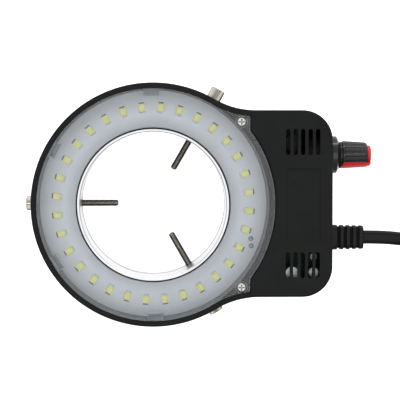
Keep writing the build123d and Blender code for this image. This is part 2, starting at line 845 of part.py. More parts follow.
live_points = [(jacket_start, cord_y + 1.3, cord_z), (64.4, -17.2, 11.0), (64.4, -22.2, driver_top)]
neutral_points = [(jacket_start, cord_y - 1.3, cord_z), (66.4, -21.0, 11.2), (65.0, -25.6, driver_top)]
mains_lead_live = wire(live_points, (-1, 0, 0), down, 0.85)
mains_lead_neutral = wire(neutral_points, (-1, 0, 0), down, 0.85)


def plug_plane(y):
    """Plane across the plug at y, its normal pointing towards the pins."""
    return Plane(origin=(plug_x, y, plug_z), x_dir=(1, 0, 0), z_dir=(0, -1, 0))


def plug_section(y, width, thickness, corner):
    """Rounded section of the plug across its length."""
    with BuildSketch(plug_plane(y)) as section:
        RectangleRounded(width, thickness, corner)
    return section.sketch


plug_neck = plug_section(plug_cord_y, 9.0, 7.0, 2.5)
plug_waist = plug_section(plug_cord_y - 9.0, 14.0, 10.5, 4.0)
plug_shoulder = plug_section(plug_cord_y - 24.0, 35.3, 13.7, 5.5)

with BuildPart() as plug_body:
    loft([plug_neck, plug_waist])
    loft([plug_waist, plug_shoulder])
    extrude(plug_shoulder, amount=plug_length - 24.0)
    fillet(plug_body.edges().group_by(Axis.Y)[0], 0.8)
    add(power_cord.part, mode=Mode.SUBTRACT)


def pin_circles(y, radius):
    """Both pins' round section at y."""
    with BuildSketch(plug_plane(y)) as circles:
        with GridLocations(pin_spacing, 1, 2, 1):
            Circle(radius)
    return circles.sketch


pin_step_y = plug_face_y - pin_sleeve_length
pin_core_radius = 1.5

with BuildPart() as plug_pins:
    extrude(pin_circles(plug_face_y, pin_core_radius), amount=pin_sleeve_length)
    extrude(pin_circles(pin_step_y, pin_radius), amount=pin_length - pin_sleeve_length)
    fillet(plug_pins.edges().group_by(Axis.Y)[0], 1.2)

with BuildPart() as plug_pin_sleeves:
    extrude(pin_circles(plug_face_y, pin_radius), amount=pin_sleeve_length)
    extrude(pin_circles(plug_face_y, pin_core_radius), amount=pin_sleeve_length, mode=Mode.SUBTRACT)


# ---- thumb screws ----
def thumb_stud(side):
    """Threaded shank of a thumb screw, from its tip to inside the head."""
    start = thumb_tips[side]
    length = thumb_length - 1.5
    with BuildPart() as stud:
        with BuildSketch(thumb_plane(side).offset(start)):
            Circle(thumb_thread_radius)
        extrude(amount=length)
        tip = stud.edges().filter_by(GeomType.CIRCLE).sort_by_distance((0, 0, thumb_z))[0]
        chamfer(tip, 0.5)
    return stud


def thumb_head(side):
    """Knurled head, bored to sit on the end of the shank."""
    inner = thumb_tips[side] + thumb_length - thumb_head_length
    plane = thumb_plane(side)
    with BuildPart() as head:
        with BuildSketch(plane.offset(inner)):
            Circle(thumb_head_radius)
        extrude(amount=thumb_head_length)
        chamfer(head.edges().filter_by(GeomType.CIRCLE), 0.35)
        with BuildSketch(plane.offset(inner)):
            with PolarLocations(thumb_head_radius + 0.12, 28):
                Rectangle(0.45, 0.45, rotation=45)
        extrude(amount=thumb_head_length, mode=Mode.SUBTRACT)
        with BuildSketch(plane.offset(inner)):
            Circle(thumb_thread_radius + running_gap)
        extrude(amount=thumb_head_length - 1.4, mode=Mode.SUBTRACT)
    return head


# ---- write every piece as its own STEP file ----
pieces = {
    "rear_housing": rear_housing,
    "box_cover": box_cover,
    "bore_sleeve": bore_sleeve,
    "front_lens": front_lens,
    "lens_screws": lens_screws,
    "case_screws": case_screws,
    "board_screws": board_screws,
    "lamp_board": lamp_board,
    "led_packages": led_packages,
    "led_phosphors": led_phosphors,
    "led_terminals": led_terminals,
    "solder_joints": solder_joints,
    "led_lead_positive": led_lead_positive,
    "led_lead_negative": led_lead_negative,
    "driver_board": driver_board,
    "transformer_coil": transformer_coil,
    "transformer_core": transformer_core,
    "capacitor_cans": capacitor_cans,
    "capacitor_sleeves": capacitor_sleeves,
    "bridge_rectifier": bridge_rectifier,
    "fuse": fuse,
    "controller_chip": controller_chip,
    "choke": choke,
    "pot_body": pot_body,
    "pot_bushing": pot_bushing,
    "pot_washer": pot_washer,
    "pot_nut": pot_nut,
    "pot_terminals": pot_terminals,
    "pot_shaft": pot_shaft,
    "knob_grip": knob_grip,
    "knob_core": knob_core,
    "strain_relief": strain_relief,
    "power_cord": power_cord,
    "mains_lead_live": mains_lead_live,
    "mains_lead_neutral": mains_lead_neutral,
    "plug_body": plug_body,
    "plug_pins": plug_pins,
    "plug_pin_sleeves": plug_pin_sleeves,
}
for number, lead in enumerate(terminal_leads, start=1):
    pieces[f"dimmer_lead_{number}"] = lead
for side in thumb_angles:
    pieces[f"{side}_screw_stud"] = thumb_stud(side)
    pieces[f"{side}_screw_head"] = thumb_head(side)

for name, piece in pieces.items():
    piece.part.label = name
    export_step(piece.part, f"parts/{name}.step")
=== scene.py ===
import math

import bpy
from mathutils import Matrix, Vector


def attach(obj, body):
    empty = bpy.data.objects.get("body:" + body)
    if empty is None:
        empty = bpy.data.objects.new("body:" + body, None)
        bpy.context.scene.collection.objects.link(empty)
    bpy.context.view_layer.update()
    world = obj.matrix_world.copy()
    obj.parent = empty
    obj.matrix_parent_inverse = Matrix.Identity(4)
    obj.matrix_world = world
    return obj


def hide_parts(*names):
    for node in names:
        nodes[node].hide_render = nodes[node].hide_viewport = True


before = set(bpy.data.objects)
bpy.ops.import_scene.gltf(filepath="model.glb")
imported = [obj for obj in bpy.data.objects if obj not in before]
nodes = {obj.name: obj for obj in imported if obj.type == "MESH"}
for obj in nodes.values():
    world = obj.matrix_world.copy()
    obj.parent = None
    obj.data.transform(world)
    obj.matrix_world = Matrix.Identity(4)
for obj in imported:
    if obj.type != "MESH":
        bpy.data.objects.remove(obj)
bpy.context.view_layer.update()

# Lengths are in millimetres, and MM turns them into metres.
MM = 0.001
EDGE_RADIUS = 0.3
LENS_UNDERSIDE = 23.6
BOARD_SHADE_FROM = 37.5
BOARD_SHADE_TO = 47.5
scene = bpy.context.scene


# ---- shader helpers ----
def new_material(name):
    """A node material and its Principled shader."""
    made = bpy.data.materials.new(name)
    made.use_nodes = True
    return made, made.node_tree, made.node_tree.nodes["Principled BSDF"]


def put(socket, value):
    """Link a socket into another one, or set it to a plain value."""
    if isinstance(value, bpy.types.NodeSocket):
        socket.id_data.links.new(value, socket)
    elif isinstance(value, (tuple, list)) and socket.type == "RGBA" and len(value) == 3:
        socket.default_value = (*value, 1.0)
    else:
        socket.default_value = value


def add(tree, kind, settings=None, inputs=None):
    """Add a shader node, set its properties, then its inputs by name or number."""
    made = tree.nodes.new("ShaderNode" + kind)
    for key, value in (settings or {}).items():
        setattr(made, key, value)
    for key, value in (inputs or {}).items():
        put(made.inputs[key], value)
    return made


def millimetres(tree):
    """Object coordinates in millimetres."""
    place = add(tree, "TexCoord").outputs["Object"]
    return add(tree, "VectorMath", {"operation": "SCALE"}, {0: place, "Scale": 1000.0}).outputs[0]


def noise(tree, where, scale, detail=3.0, roughness=0.5):
    """Noise from 0 to 1, with scale in features per millimetre."""
    inputs = {"Vector": where, "Scale": scale, "Detail": detail, "Roughness": roughness}
    return add(tree, "TexNoise", None, inputs).outputs["Fac"]


def spread(tree, value, low, high, from_low=0.3, from_high=0.7):
    """Map a value onto a new range, held at its ends."""
    inputs = {"Value": value, "From Min": from_low, "From Max": from_high, "To Min": low, "To Max": high}
    return add(tree, "MapRange", {"clamp": True}, inputs).outputs["Result"]


def mix_colour(tree, factor, first, second):
    """Blend of two colours."""
    node = add(tree, "Mix", {"data_type": "RGBA"}, {"Factor": factor})
    put(node.inputs[6], first)
    put(node.inputs[7], second)
    return node.outputs[2]


def maths(tree, operation, first, second=0.0):
    """One arithmetic step on two values."""
    return add(tree, "Math", {"operation": operation}, {0: first, 1: second}).outputs[0]


def bump(tree, height, strength, distance_mm, normal=None):
    """Bumped normal from a height, with the distance in millimetres."""
    inputs = {"Height": height, "Strength": strength, "Distance": distance_mm * MM}
    if normal is not None:
        inputs["Normal"] = normal
    return add(tree, "Bump", None, inputs).outputs["Normal"]


def mottled(tree, pattern, first, second):
    """Two colours in soft patches that follow a noise pattern."""
    return mix_colour(tree, spread(tree, pattern, 0.0, 1.0), first, second)


def radius_and_height(tree, where):
    """Distance from the bore axis and height above the rear face."""
    split = add(tree, "SeparateXYZ", None, {0: where})
    flat = add(tree, "CombineXYZ", None, {0: split.outputs[0], 1: split.outputs[1]}).outputs[0]
    radius = add(tree, "VectorMath", {"operation": "LENGTH"}, {0: flat}).outputs["Value"]
    return radius, split.outputs[2]


def open_share(tree, reach_mm):
    """Share of the surroundings within reach that is open, low in the piece's own recesses."""
    settings = {"samples": 4, "only_local": True}
    return add(tree, "AmbientOcclusion", settings, {"Distance": reach_mm * MM}).outputs["AO"]


def soft_edges(tree):
    """Normal that rounds sharp edges."""
    return add(tree, "Bevel", {"samples": 4}, {"Radius": EDGE_RADIUS * MM}).outputs[0]


def edge_wear(tree, bevelled):
    """About 1 on sharp edges and 0 on flat faces, from the bevelled normal."""
    plain = add(tree, "NewGeometry").outputs["Normal"]
    aligned = add(tree, "VectorMath", {"operation": "DOT_PRODUCT"}, {0: bevelled, 1: plain}).outputs["Value"]
    return spread(tree, aligned, 1.0, 0.0, 0.75, 0.98)


def specular_level(tree, shine, recess):
    """Plain shine, or with a recess setting a shine that fades in recesses, which paints shade into them.

    A recess setting is the reach in mm, the open share that leaves hardly any shine and the one that
    keeps all of it.
    """
    if recess is None:
        return shine
    reach_mm, dull_share, shiny_share = recess
    return spread(tree, open_share(tree, reach_mm), 0.02, shine, dull_share, shiny_share)


# ---- materials ----
def moulded_plastic(
    name, colour, light_colour, rough, grain_scale=2.6, grain_depth=0.02, wear=0.35, shine=0.14, recess=None
):
    """Moulded plastic with a fine spark-eroded grain, faint flow marks and rubbed edges."""
    made, tree, shader = new_material(name)
    where = millimetres(tree)
    grain = noise(tree, where, grain_scale, 2.0, 0.55)
    clouds = noise(tree, where, 0.06, 3.0, 0.6)
    smudge = noise(tree, where, 0.22, 4.0, 0.65)
    body = mottled(tree, clouds, colour, light_colour)
    soft_edge = soft_edges(tree)
    worn = maths(tree, "MULTIPLY", edge_wear(tree, soft_edge), wear)
    rub = maths(tree, "MULTIPLY", worn, spread(tree, smudge, 0.2, 1.0))
    put(shader.inputs["Base Color"], mix_colour(tree, rub, body, tuple(2.5 * c for c in light_colour)))
    put(shader.inputs["Roughness"], spread(tree, smudge, rough - 0.05, rough + 0.07))
    put(shader.inputs["Specular IOR Level"], specular_level(tree, shine, recess))
    put(shader.inputs["Normal"], bump(tree, grain, 0.6, grain_depth, soft_edge))
    return made


def smooth_polymer(name, colour, second, rough, scale=0.35, bump_mm=0.01, shine=0.35, recess=None):
    """Soft or glossy polymer: cable jacket, insulation, moulded rubber."""
    made, tree, shader = new_material(name)
    where = millimetres(tree)
    clouds = noise(tree, where, scale, 3.0, 0.6)
    fine = noise(tree, where, 3.5, 2.0, 0.5)
    put(shader.inputs["Base Color"], mottled(tree, clouds, colour, second))
    put(shader.inputs["Roughness"], spread(tree, clouds, rough - 0.06, rough + 0.08))
    put(shader.inputs["Specular IOR Level"], specular_level(tree, shine, recess))
    put(shader.inputs["Normal"], bump(tree, fine, 0.5, bump_mm))
    return made


def metal(name, colour, dark, rough, scratch_scale=(1.5, 1.5, 1.5), depth=0.01, recess_shade_mm=None, edge_shade=0.0):
    """Machined metal with tool marks and dull patches.

    A recess reach in mm paints shade into its own recesses, and an edge-shade amount paints shade where it
    turns away from view.
    """
    made, tree, shader = new_material(name)
    where = millimetres(tree)
    stretched = add(tree, "Mapping", None, {"Vector": where, "Scale": scratch_scale}).outputs[0]
    marks = noise(tree, stretched, 1.0, 4.0, 0.6)
    clouds = noise(tree, where, 0.35, 3.0, 0.6)
    tarnish = spread(tree, clouds, 0.0, 0.5)
    surface = mix_colour(tree, tarnish, colour, dark)
    if recess_shade_mm:
        # Painted shade: near-black mixed into the surface in its own recesses.
        painted_recess_shade = spread(tree, open_share(tree, recess_shade_mm), 0.92, 0.0, 0.25, 0.8)
        surface = mix_colour(tree, painted_recess_shade, surface, (0.012, 0.011, 0.01))
    if edge_shade:
        # Painted shade: dark brown mixed into the surface where it turns away from view, towards its
        # silhouette.
        turned_away = add(tree, "LayerWeight", None, {"Blend": 0.5}).outputs["Facing"]
        brown = spread(tree, turned_away, 0.0, edge_shade, 0.05, 0.2)
        surface = mix_colour(tree, brown, surface, (0.03, 0.024, 0.016))
    put(shader.inputs["Base Color"], surface)
    put(shader.inputs["Metallic"], 1.0)
    put(shader.inputs["Roughness"], spread(tree, marks, rough - 0.06, rough + 0.1))
    put(shader.inputs["Normal"], bump(tree, marks, 0.6, depth))
    return made


def turned_aluminium():
    """Satin aluminium with lathe rings round the bore axis."""
    made, tree, shader = new_material("turned_aluminium")
    where = millimetres(tree)
    radius, height = radius_and_height(tree, where)
    rings = add(tree, "CombineXYZ", None, {0: radius, 1: height}).outputs[0]
    tool = noise(tree, rings, 5.0, 3.0, 0.7)
    broad = noise(tree, rings, 0.8, 2.0, 0.5)
    clouds = noise(tree, where, 0.12, 3.0, 0.6)
    surface = mottled(tree, clouds, (0.47, 0.47, 0.48), (0.55, 0.55, 0.57))
    put(shader.inputs["Base Color"], surface)
    put(shader.inputs["Metallic"], 1.0)
    put(shader.inputs["Roughness"], spread(tree, broad, 0.26, 0.4))
    put(shader.inputs["Normal"], bump(tree, tool, 0.45, 0.012))
    return made


def clear_lens():
    """Clear polycarbonate sheet: mostly see-through, with surface reflection, faint haze and a painted
    highlight of white haze along its edges and chamfers.
    """
    made, tree, shader = new_material("clear_polycarbonate")
    tree.nodes.remove(shader)
    where = millimetres(tree)
    clouds = noise(tree, where, 0.08, 3.0, 0.55)
    swirl = noise(tree, where, 0.5, 2.0, 0.5)
    facing = add(tree, "LayerWeight", None, {"Blend": 0.35}).outputs["Facing"]
    clear = add(tree, "BsdfTransparent", None, {"Color": (0.955, 0.965, 0.975)}).outputs[0]
    gloss = add(tree, "BsdfGlossy", None, {"Color": (0.95, 0.97, 1.0)})
    put(gloss.inputs["Roughness"], spread(tree, clouds, 0.03, 0.09))
    put(gloss.inputs["Normal"], bump(tree, swirl, 0.05, 0.005))
    fresnel = add(tree, "Fresnel", None, {"IOR": 1.5}).outputs[0]
    haze = add(tree, "BsdfDiffuse", None, {"Color": (0.75, 0.8, 0.84)}).outputs[0]
    sheet = add(tree, "MixShader", None, {0: fresnel, 1: clear, 2: gloss.outputs[0]}).outputs[0]
    # Painted highlight: faces turned away from the sheet's plane get white haze, so its chamfers and sides
    # show as bright lines.
    flat = add(tree, "SeparateXYZ", None, {0: add(tree, "NewGeometry").outputs["Normal"]}).outputs[2]
    edge = spread(tree, maths(tree, "ABSOLUTE", flat), 0.2, 0.0, 0.6, 0.9)
    thick = maths(tree, "MULTIPLY", maths(tree, "POWER", facing, 3.0), 0.2)
    depth = add(tree, "SeparateXYZ", None, {0: where}).outputs[2]
    leg = spread(tree, depth, 0.2, 0.0, LENS_UNDERSIDE - 0.6, LENS_UNDERSIDE - 0.1)
    # Painted highlight: sharp edges get more white haze.
    lit_edge = maths(tree, "MULTIPLY", edge_wear(tree, soft_edges(tree)), 0.55)
    solid = maths(tree, "ADD", maths(tree, "ADD", leg, lit_edge), spread(tree, clouds, 0.005, 0.02))
    amount = maths(tree, "ADD", maths(tree, "ADD", thick, edge), solid)
    haze_and_edge_light = add(tree, "MixShader", None, {0: amount, 1: sheet, 2: haze}).outputs[0]
    put(tree.nodes["Material Output"].inputs["Surface"], haze_and_edge_light)
    return made


def solder_mask(name, colour, copper_colour, trace_scale, rough, rim_shade=0.0, shine=0.5):
    """Circuit board lacquer over faint copper tracks. The rim setting paints shade on it towards the rim of
    the ring, where the outer wall shades it.
    """
    made, tree, shader = new_material(name)
    where = millimetres(tree)
    clouds = noise(tree, where, 0.09, 3.0, 0.6)
    settings = {"feature": "DISTANCE_TO_EDGE", "distance": "MANHATTAN"}
    inputs = {"Vector": where, "Scale": trace_scale, "Randomness": 0.8}
    cells = add(tree, "TexVoronoi", settings, inputs).outputs["Distance"]
    tracks = spread(tree, cells, 1.0, 0.0, 0.03, 0.06)
    lacquer = mix_colour(tree, maths(tree, "MULTIPLY", tracks, 0.35), colour, copper_colour)
    tint = mix_colour(tree, spread(tree, clouds, 0.0, 0.5), lacquer, tuple(0.86 * c for c in colour))
    if rim_shade:
        radius, _ = radius_and_height(tree, where)
        # Painted shade: dark grey mixed in towards the outer wall of the ring.
        painted_rim_shade = spread(tree, radius, 0.0, rim_shade, BOARD_SHADE_FROM, BOARD_SHADE_TO)
        tint = mix_colour(tree, painted_rim_shade, tint, (0.1, 0.105, 0.11))
    put(shader.inputs["Base Color"], tint)
    put(shader.inputs["Roughness"], spread(tree, clouds, rough - 0.05, rough + 0.08))
    put(shader.inputs["Specular IOR Level"], shine)
    put(shader.inputs["Normal"], bump(tree, tracks, 0.5, 0.03))
    return made


def phosphor_gel():
    """Yellow phosphor in silicone, patchy and slightly grainy."""
    made, tree, shader = new_material("phosphor_gel")
    where = millimetres(tree)
    grains = noise(tree, where, 5.0, 2.0, 0.7)
    patches = noise(tree, where, 0.5, 2.0, 0.5)
    silicone = mottled(tree, patches, (0.88, 0.86, 0.13), (0.92, 0.9, 0.2))
    surface = mix_colour(tree, spread(tree, grains, 0.0, 0.35), silicone, (0.74, 0.71, 0.08))
    put(shader.inputs["Base Color"], surface)
    put(shader.inputs["Roughness"], 0.35)
    put(shader.inputs["Normal"], bump(tree, grains, 0.3, 0.02))
    return made


black_case = moulded_plastic(
    "black_abs", (0.0068, 0.0073, 0.0071), (0.0095, 0.0102, 0.01), 0.46, shine=0.08
)
knob_black = moulded_plastic(
    "knob_black", (0.007, 0.0075, 0.0072), (0.01, 0.0105, 0.01), 0.17,
    grain_scale=3.5, grain_depth=0.003, shine=0.4, recess=(1.0, 0.8, 0.97),
)
knob_red = moulded_plastic(
    "knob_red", (0.58, 0.011, 0.009), (0.64, 0.016, 0.012), 0.3,
    grain_scale=3.5, grain_depth=0.005, wear=0.1, shine=0.28,
)
black_resin = moulded_plastic(
    "black_resin", (0.012, 0.012, 0.012), (0.02, 0.02, 0.02), 0.5, grain_scale=4.0, grain_depth=0.01, wear=0.2
)
ferrite = moulded_plastic(
    "ferrite", (0.03, 0.03, 0.032), (0.045, 0.045, 0.047), 0.6, grain_scale=1.5, grain_depth=0.03, wear=0.5
)
white_resin = moulded_plastic(
    "led_resin", (0.86, 0.84, 0.36), (0.9, 0.88, 0.44), 0.38,
    grain_scale=3.0, grain_depth=0.006, wear=0.0, shine=0.3,
)
plug_plastic = moulded_plastic(
    "plug_pvc", (0.012, 0.012, 0.0125), (0.018, 0.018, 0.018), 0.42, grain_scale=2.0
)
boot_rubber = smooth_polymer(
    "boot_rubber", (0.004, 0.004, 0.004), (0.006, 0.006, 0.006), 0.4, shine=0.17, recess=(2.2, 0.6, 0.97)
)
cord_jacket = smooth_polymer("cord_jacket", (0.004, 0.004, 0.0042), (0.006, 0.006, 0.0064), 0.24, shine=0.12)
pvc = {
    "red": smooth_polymer("pvc_red", (0.45, 0.015, 0.012), (0.5, 0.03, 0.02), 0.35),
    "black": smooth_polymer("pvc_black", (0.012, 0.012, 0.012), (0.02, 0.02, 0.02), 0.35),
    "yellow": smooth_polymer("pvc_yellow", (0.62, 0.45, 0.03), (0.7, 0.5, 0.05), 0.35),
    "brown": smooth_polymer("pvc_brown", (0.12, 0.045, 0.02), (0.15, 0.06, 0.03), 0.35),
    "blue": smooth_polymer("pvc_blue", (0.012, 0.045, 0.18), (0.018, 0.06, 0.22), 0.35),
}
tape = smooth_polymer("polyester_tape", (0.62, 0.42, 0.04), (0.7, 0.5, 0.07), 0.25)
film = smooth_polymer("can_film", (0.012, 0.012, 0.02), (0.02, 0.02, 0.03), 0.3)
tin = smooth_polymer(
    "bright_tin", (0.68, 0.69, 0.7), (0.82, 0.83, 0.84), 0.3, scale=1.5, bump_mm=0.03, shine=0.6
)
steel = metal("zinc_steel", (0.52, 0.5, 0.47), (0.3, 0.29, 0.27), 0.3, recess_shade_mm=0.9)
cross_head_steel = metal("cross_head_steel", (0.47, 0.45, 0.42), (0.34, 0.32, 0.3), 0.28, recess_shade_mm=3.2)
nickel = metal("nickel_with_painted_edge_shade", (0.5, 0.47, 0.41), (0.34, 0.315, 0.27), 0.28, recess_shade_mm=0.3, edge_shade=0.95)
bright_nickel = metal("bright_nickel", (0.48, 0.45, 0.4), (0.28, 0.26, 0.23), 0.14, recess_shade_mm=0.4)
can_metal = metal("can_aluminium", (0.5, 0.5, 0.5), (0.38, 0.38, 0.39), 0.28, scratch_scale=(4.0, 0.6, 1.0))
solder = metal("solder", (0.55, 0.55, 0.56), (0.3, 0.3, 0.3), 0.33, depth=0.02)
# Solder painted near black, as painted shade, on the joints and on the LEDs' outer fillets.
shaded_solder = metal("solder_with_painted_shade", (0.12, 0.12, 0.1), (0.05, 0.05, 0.045), 0.25, depth=0.03)
brass = metal("brass", (0.75, 0.56, 0.26), (0.5, 0.36, 0.15), 0.3, scratch_scale=(2.0, 2.0, 2.0))
pin_metal = metal("plated_pin", (0.72, 0.7, 0.64), (0.55, 0.52, 0.45), 0.24, depth=0.008)
aluminium = turned_aluminium()
lens = clear_lens()
lamp_mask = solder_mask(
    "white_solder_mask", (0.77, 0.8, 0.83), (0.71, 0.73, 0.75), trace_scale=0.12, rough=0.35, rim_shade=0.48
)
# The driver board's green is painted very dark, as painted shade for the inside of the box seen through the
# vents.
driver_mask = solder_mask(
    "green_solder_mask", (0.006, 0.03, 0.014), (0.015, 0.08, 0.03), trace_scale=0.35, rough=0.3, shine=0.1
)
gel = phosphor_gel()

finishes = {
    "rear_housing": black_case,
    "box_cover": black_case,
    "bore_sleeve": aluminium,
    "front_lens": lens,
    "lens_screws": cross_head_steel,
    "case_screws": steel,
    "board_screws": steel,
    "lamp_board": lamp_mask,
    "led_packages": white_resin,
    "led_phosphors": gel,
    "led_terminals": solder,
    "solder_joints": shaded_solder,
    "led_lead_positive": pvc["red"],
    "led_lead_negative": pvc["black"],
    "driver_board": driver_mask,
    "transformer_coil": tape,
    "transformer_core": ferrite,
    "capacitor_cans": can_metal,
    "capacitor_sleeves": film,
    "bridge_rectifier": black_resin,
    "fuse": black_resin,
    "controller_chip": black_resin,
    "choke": ferrite,
    "pot_body": black_resin,
    "pot_bushing": brass,
    "pot_washer": steel,
    "pot_nut": steel,
    "pot_terminals": steel,
    "dimmer_lead_1": pvc["red"],
    "dimmer_lead_2": pvc["yellow"],
    "dimmer_lead_3": pvc["black"],
    "pot_shaft": steel,
    "knob_grip": knob_black,
    "knob_core": knob_red,
    "strain_relief": boot_rubber,
    "power_cord": cord_jacket,
    "mains_lead_live": pvc["brown"],
    "mains_lead_neutral": pvc["blue"],
    "plug_body": plug_plastic,
    "plug_pins": pin_metal,
    "plug_pin_sleeves": plug_plastic,
    "left_screw_stud": nickel,
    "upper_screw_stud": nickel,
    "lower_screw_stud": nickel,
    "left_screw_head": bright_nickel,
    "upper_screw_head": bright_nickel,
    "lower_screw_head": bright_nickel,
}


for node_name, node_finish in finishes.items():
    node_mesh = nodes[node_name].data
    node_mesh.materials.clear()
    node_mesh.materials.append(node_finish)


# ---- replacement pieces ----
def mesh_piece(name, points, faces, finish):
    """New smooth-shaded object from points in millimetres."""
    mesh = bpy.data.meshes.new(name)
    mesh.from_pydata([tuple(c * MM for c in p) for p in points], [], faces)
    mesh.validate()
    mesh.materials.append(finish)
    mesh.shade_smooth()
    piece = bpy.data.objects.new(name, mesh)
    scene.collection.objects.link(piece)
    return piece


def turned_shape(stations, segments, radius_at):
    """Closed shape along local Z. radius_at(station, angle) gives its radius; both ends close to a point."""
    points = []
    faces = []
    for z in stations:
        for k in range(segments):
            angle = 2 * math.pi * k / segments
            r = radius_at(z, angle)
            points.append((r * math.cos(angle), r * math.sin(angle), z))
    for row in range(len(stations) - 1):
        for k in range(segments):
            a = row * segments + k
            b = row * segments + (k + 1) % segments
            faces.append((a, b, b + segments, a + segments))
    for z, row, order in ((stations[0], 0, -1), (stations[-1], len(stations) - 1, 1)):
        centre = len(points)
        points.append((0, 0, z))
        for k in range(segments):
            pair = (row * segments + k, row * segments + (k + 1) % segments)
            faces.append((centre, *pair[::order]))
    return points, faces


# Thumb screws: height of their axes, directions in degrees, and distance of each tip from the bore axis.
THUMB_Z = 5.5
THUMB_ANGLES = {"left": 180.0, "upper": 60.0, "lower": -60.0}
THUMB_TIPS = {"left": 14.9, "upper": 16.7, "lower": 14.9}
STUD_LENGTH = 37.0
HEAD_START = 33.5
HEAD_LENGTH = 6.0
HEAD_RADIUS = 3.1
HEAD_CHAMFER = 0.4
THREAD_PITCH = 0.5
THREAD_RADIUS = 1.49
THREAD_DEPTH = 0.28
THREAD_CREST = 1.25
THREAD_ROWS_PER_TURN = 6
THREAD_SEGMENTS = 24
TIP_LENGTH = 0.9
TIP_RADIUS = 1.36
TIP_ROUNDING = 0.85
KNURL_TEETH = 28
KNURL_DEPTH = 0.26
KNURL_SEGMENTS = KNURL_TEETH * 6


def triangle_wave(phase):
    """From 0 up to 1 and back over one period."""
    return 1.0 - abs(2.0 * (phase % 1.0) - 1.0)


def thread_radius(z, angle):
    """M3 coarse right-hand thread with flat crests and a domed tip."""
    ridge = min(1.0, THREAD_CREST * triangle_wave(z / THREAD_PITCH - angle / (2 * math.pi)))
    threaded = THREAD_RADIUS - THREAD_DEPTH + THREAD_DEPTH * ridge
    if z >= TIP_LENGTH:
        return threaded
    dome = TIP_RADIUS * math.sqrt(1.0 - ((TIP_LENGTH - z) / TIP_LENGTH) ** 2 * TIP_ROUNDING)
    return min(threaded, dome)


def head_radius(z, angle):
    """Straight-knurled head with chamfered ends."""
    tooth = triangle_wave(angle * KNURL_TEETH / (2 * math.pi))
    knurled = HEAD_RADIUS - KNURL_DEPTH * (1.0 - tooth) ** 1.5
    from_end = min(z, HEAD_LENGTH - z)
    return min(knurled, HEAD_RADIUS - HEAD_CHAMFER + from_end)


def place_on_thumb_axis(piece, side, start):
    """Stand a piece on a thumb screw's axis, its local Z pointing outwards and its zero at start mm."""
    a = math.radians(THUMB_ANGLES[side])
    outward = Vector((math.cos(a), math.sin(a), 0))
    across = Vector((-math.sin(a), math.cos(a), 0))
    turn = Matrix((across, Vector((0, 0, 1)), outward)).transposed()
    origin = outward * start * MM + Vector((0, 0, THUMB_Z * MM))
    piece.matrix_world = Matrix.Translation(origin) @ turn.to_4x4()


def thumb_screws():
    """Threaded studs and knurled heads of the three thumb screws."""
    row_count = int(STUD_LENGTH / THREAD_PITCH * THREAD_ROWS_PER_TURN) + 1
    thread_rows = [row * THREAD_PITCH / THREAD_ROWS_PER_TURN for row in range(row_count)]
    head_rows = [0.0, HEAD_CHAMFER / 2, HEAD_CHAMFER, 1.5, 3.0, 4.5]
    head_rows += [HEAD_LENGTH - HEAD_CHAMFER, HEAD_LENGTH - HEAD_CHAMFER / 2, HEAD_LENGTH]
    stud_shape = turned_shape(thread_rows, THREAD_SEGMENTS, thread_radius)
    head_shape = turned_shape(head_rows, KNURL_SEGMENTS, head_radius)
    for side in THUMB_ANGLES:
        stud = mesh_piece(f"{side}_threaded_stud", *stud_shape, nickel)
        place_on_thumb_axis(stud, side, THUMB_TIPS[side])
        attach(stud, f"{side}_stud")
        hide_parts(f"{side}_screw_stud")
        head = mesh_piece(f"{side}_knurled_head", *head_shape, bright_nickel)
        head.data.shade_flat()
        place_on_thumb_axis(head, side, THUMB_TIPS[side] + HEAD_START)
        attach(head, f"{side}_head")
        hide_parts(f"{side}_screw_head")


# LEDs: their ring's radius and first angle in degrees, body length, board face and body top.
LED_COUNT = 32
LED_CIRCLE = 40.8
LED_START = 6.8
LED_LENGTH = 3.5
LED_BASE_Z = 14.0
LED_TOP_Z = 14.75
# Length, width, corner radius and height above the LED's top, from the bottom up.
GEL_PROFILE = ((3.0, 2.3, 0.4, -0.38), (3.0, 2.3, 0.4, 0.01), (2.7, 2.05, 0.4, 0.05), (1.6, 1.1, 0.3, 0.09))
FILLET_LENGTH = 0.62
FILLET_WIDTH = 2.3
FILLET_NARROWING = 0.3
FILLET_CORNER = 0.05
FILLET_OVERLAP = 0.03
# Share of the fillet's length and height above the board, from the bottom up.
FILLET_PROFILE = ((1.0, 0.0), (0.95, 0.06), (0.6, 0.16), (0.25, 0.34), (0.12, 0.42))


def rounded_rectangle(length, width, corner, steps=3):
    """Corner-rounded rectangle outline, anticlockwise."""
    outline = []
    for sx, sy, first in ((1, 1, 0), (-1, 1, 90), (-1, -1, 180), (1, -1, 270)):
        cx = sx * (length / 2 - corner)
        cy = sy * (width / 2 - corner)
        for k in range(steps + 1):
            a = math.radians(first + 90 * k / steps)
            outline.append((cx + corner * math.cos(a), cy + corner * math.sin(a)))
    return outline


def stacked_outlines(rings, base):
    """Closed shape through outlines of equal point count, each a list of (x, y) and a height.

    Its point numbers start at base.
    """
    points = []
    faces = []
    count = len(rings[0][0])
    for outline, z in rings:
        points.extend((x, y, z) for x, y in outline)
    for row in range(len(rings) - 1):
        for k in range(count):
            a = base + row * count + k
            b = base + row * count + (k + 1) % count
            faces.append((a, b, b + count, a + count))
    last = base + (len(rings) - 1) * count
    faces.append(tuple(base + k for k in reversed(range(count))))
    faces.append(tuple(last + k for k in range(count)))
    return points, faces


def around_leds(rings):
    """The same stacked shape at every LED, its local X pointing away from the bore axis."""
    points = []
    faces = []
    for index in range(LED_COUNT):
        a = math.radians(LED_START + 360.0 * index / LED_COUNT)
        local, local_faces = stacked_outlines(rings, len(points))
        for x, y, z in local:
            r = LED_CIRCLE + x
            points.append((r * math.cos(a) - y * math.sin(a), r * math.sin(a) + y * math.cos(a), z))
        faces.extend(local_faces)
    return points, faces


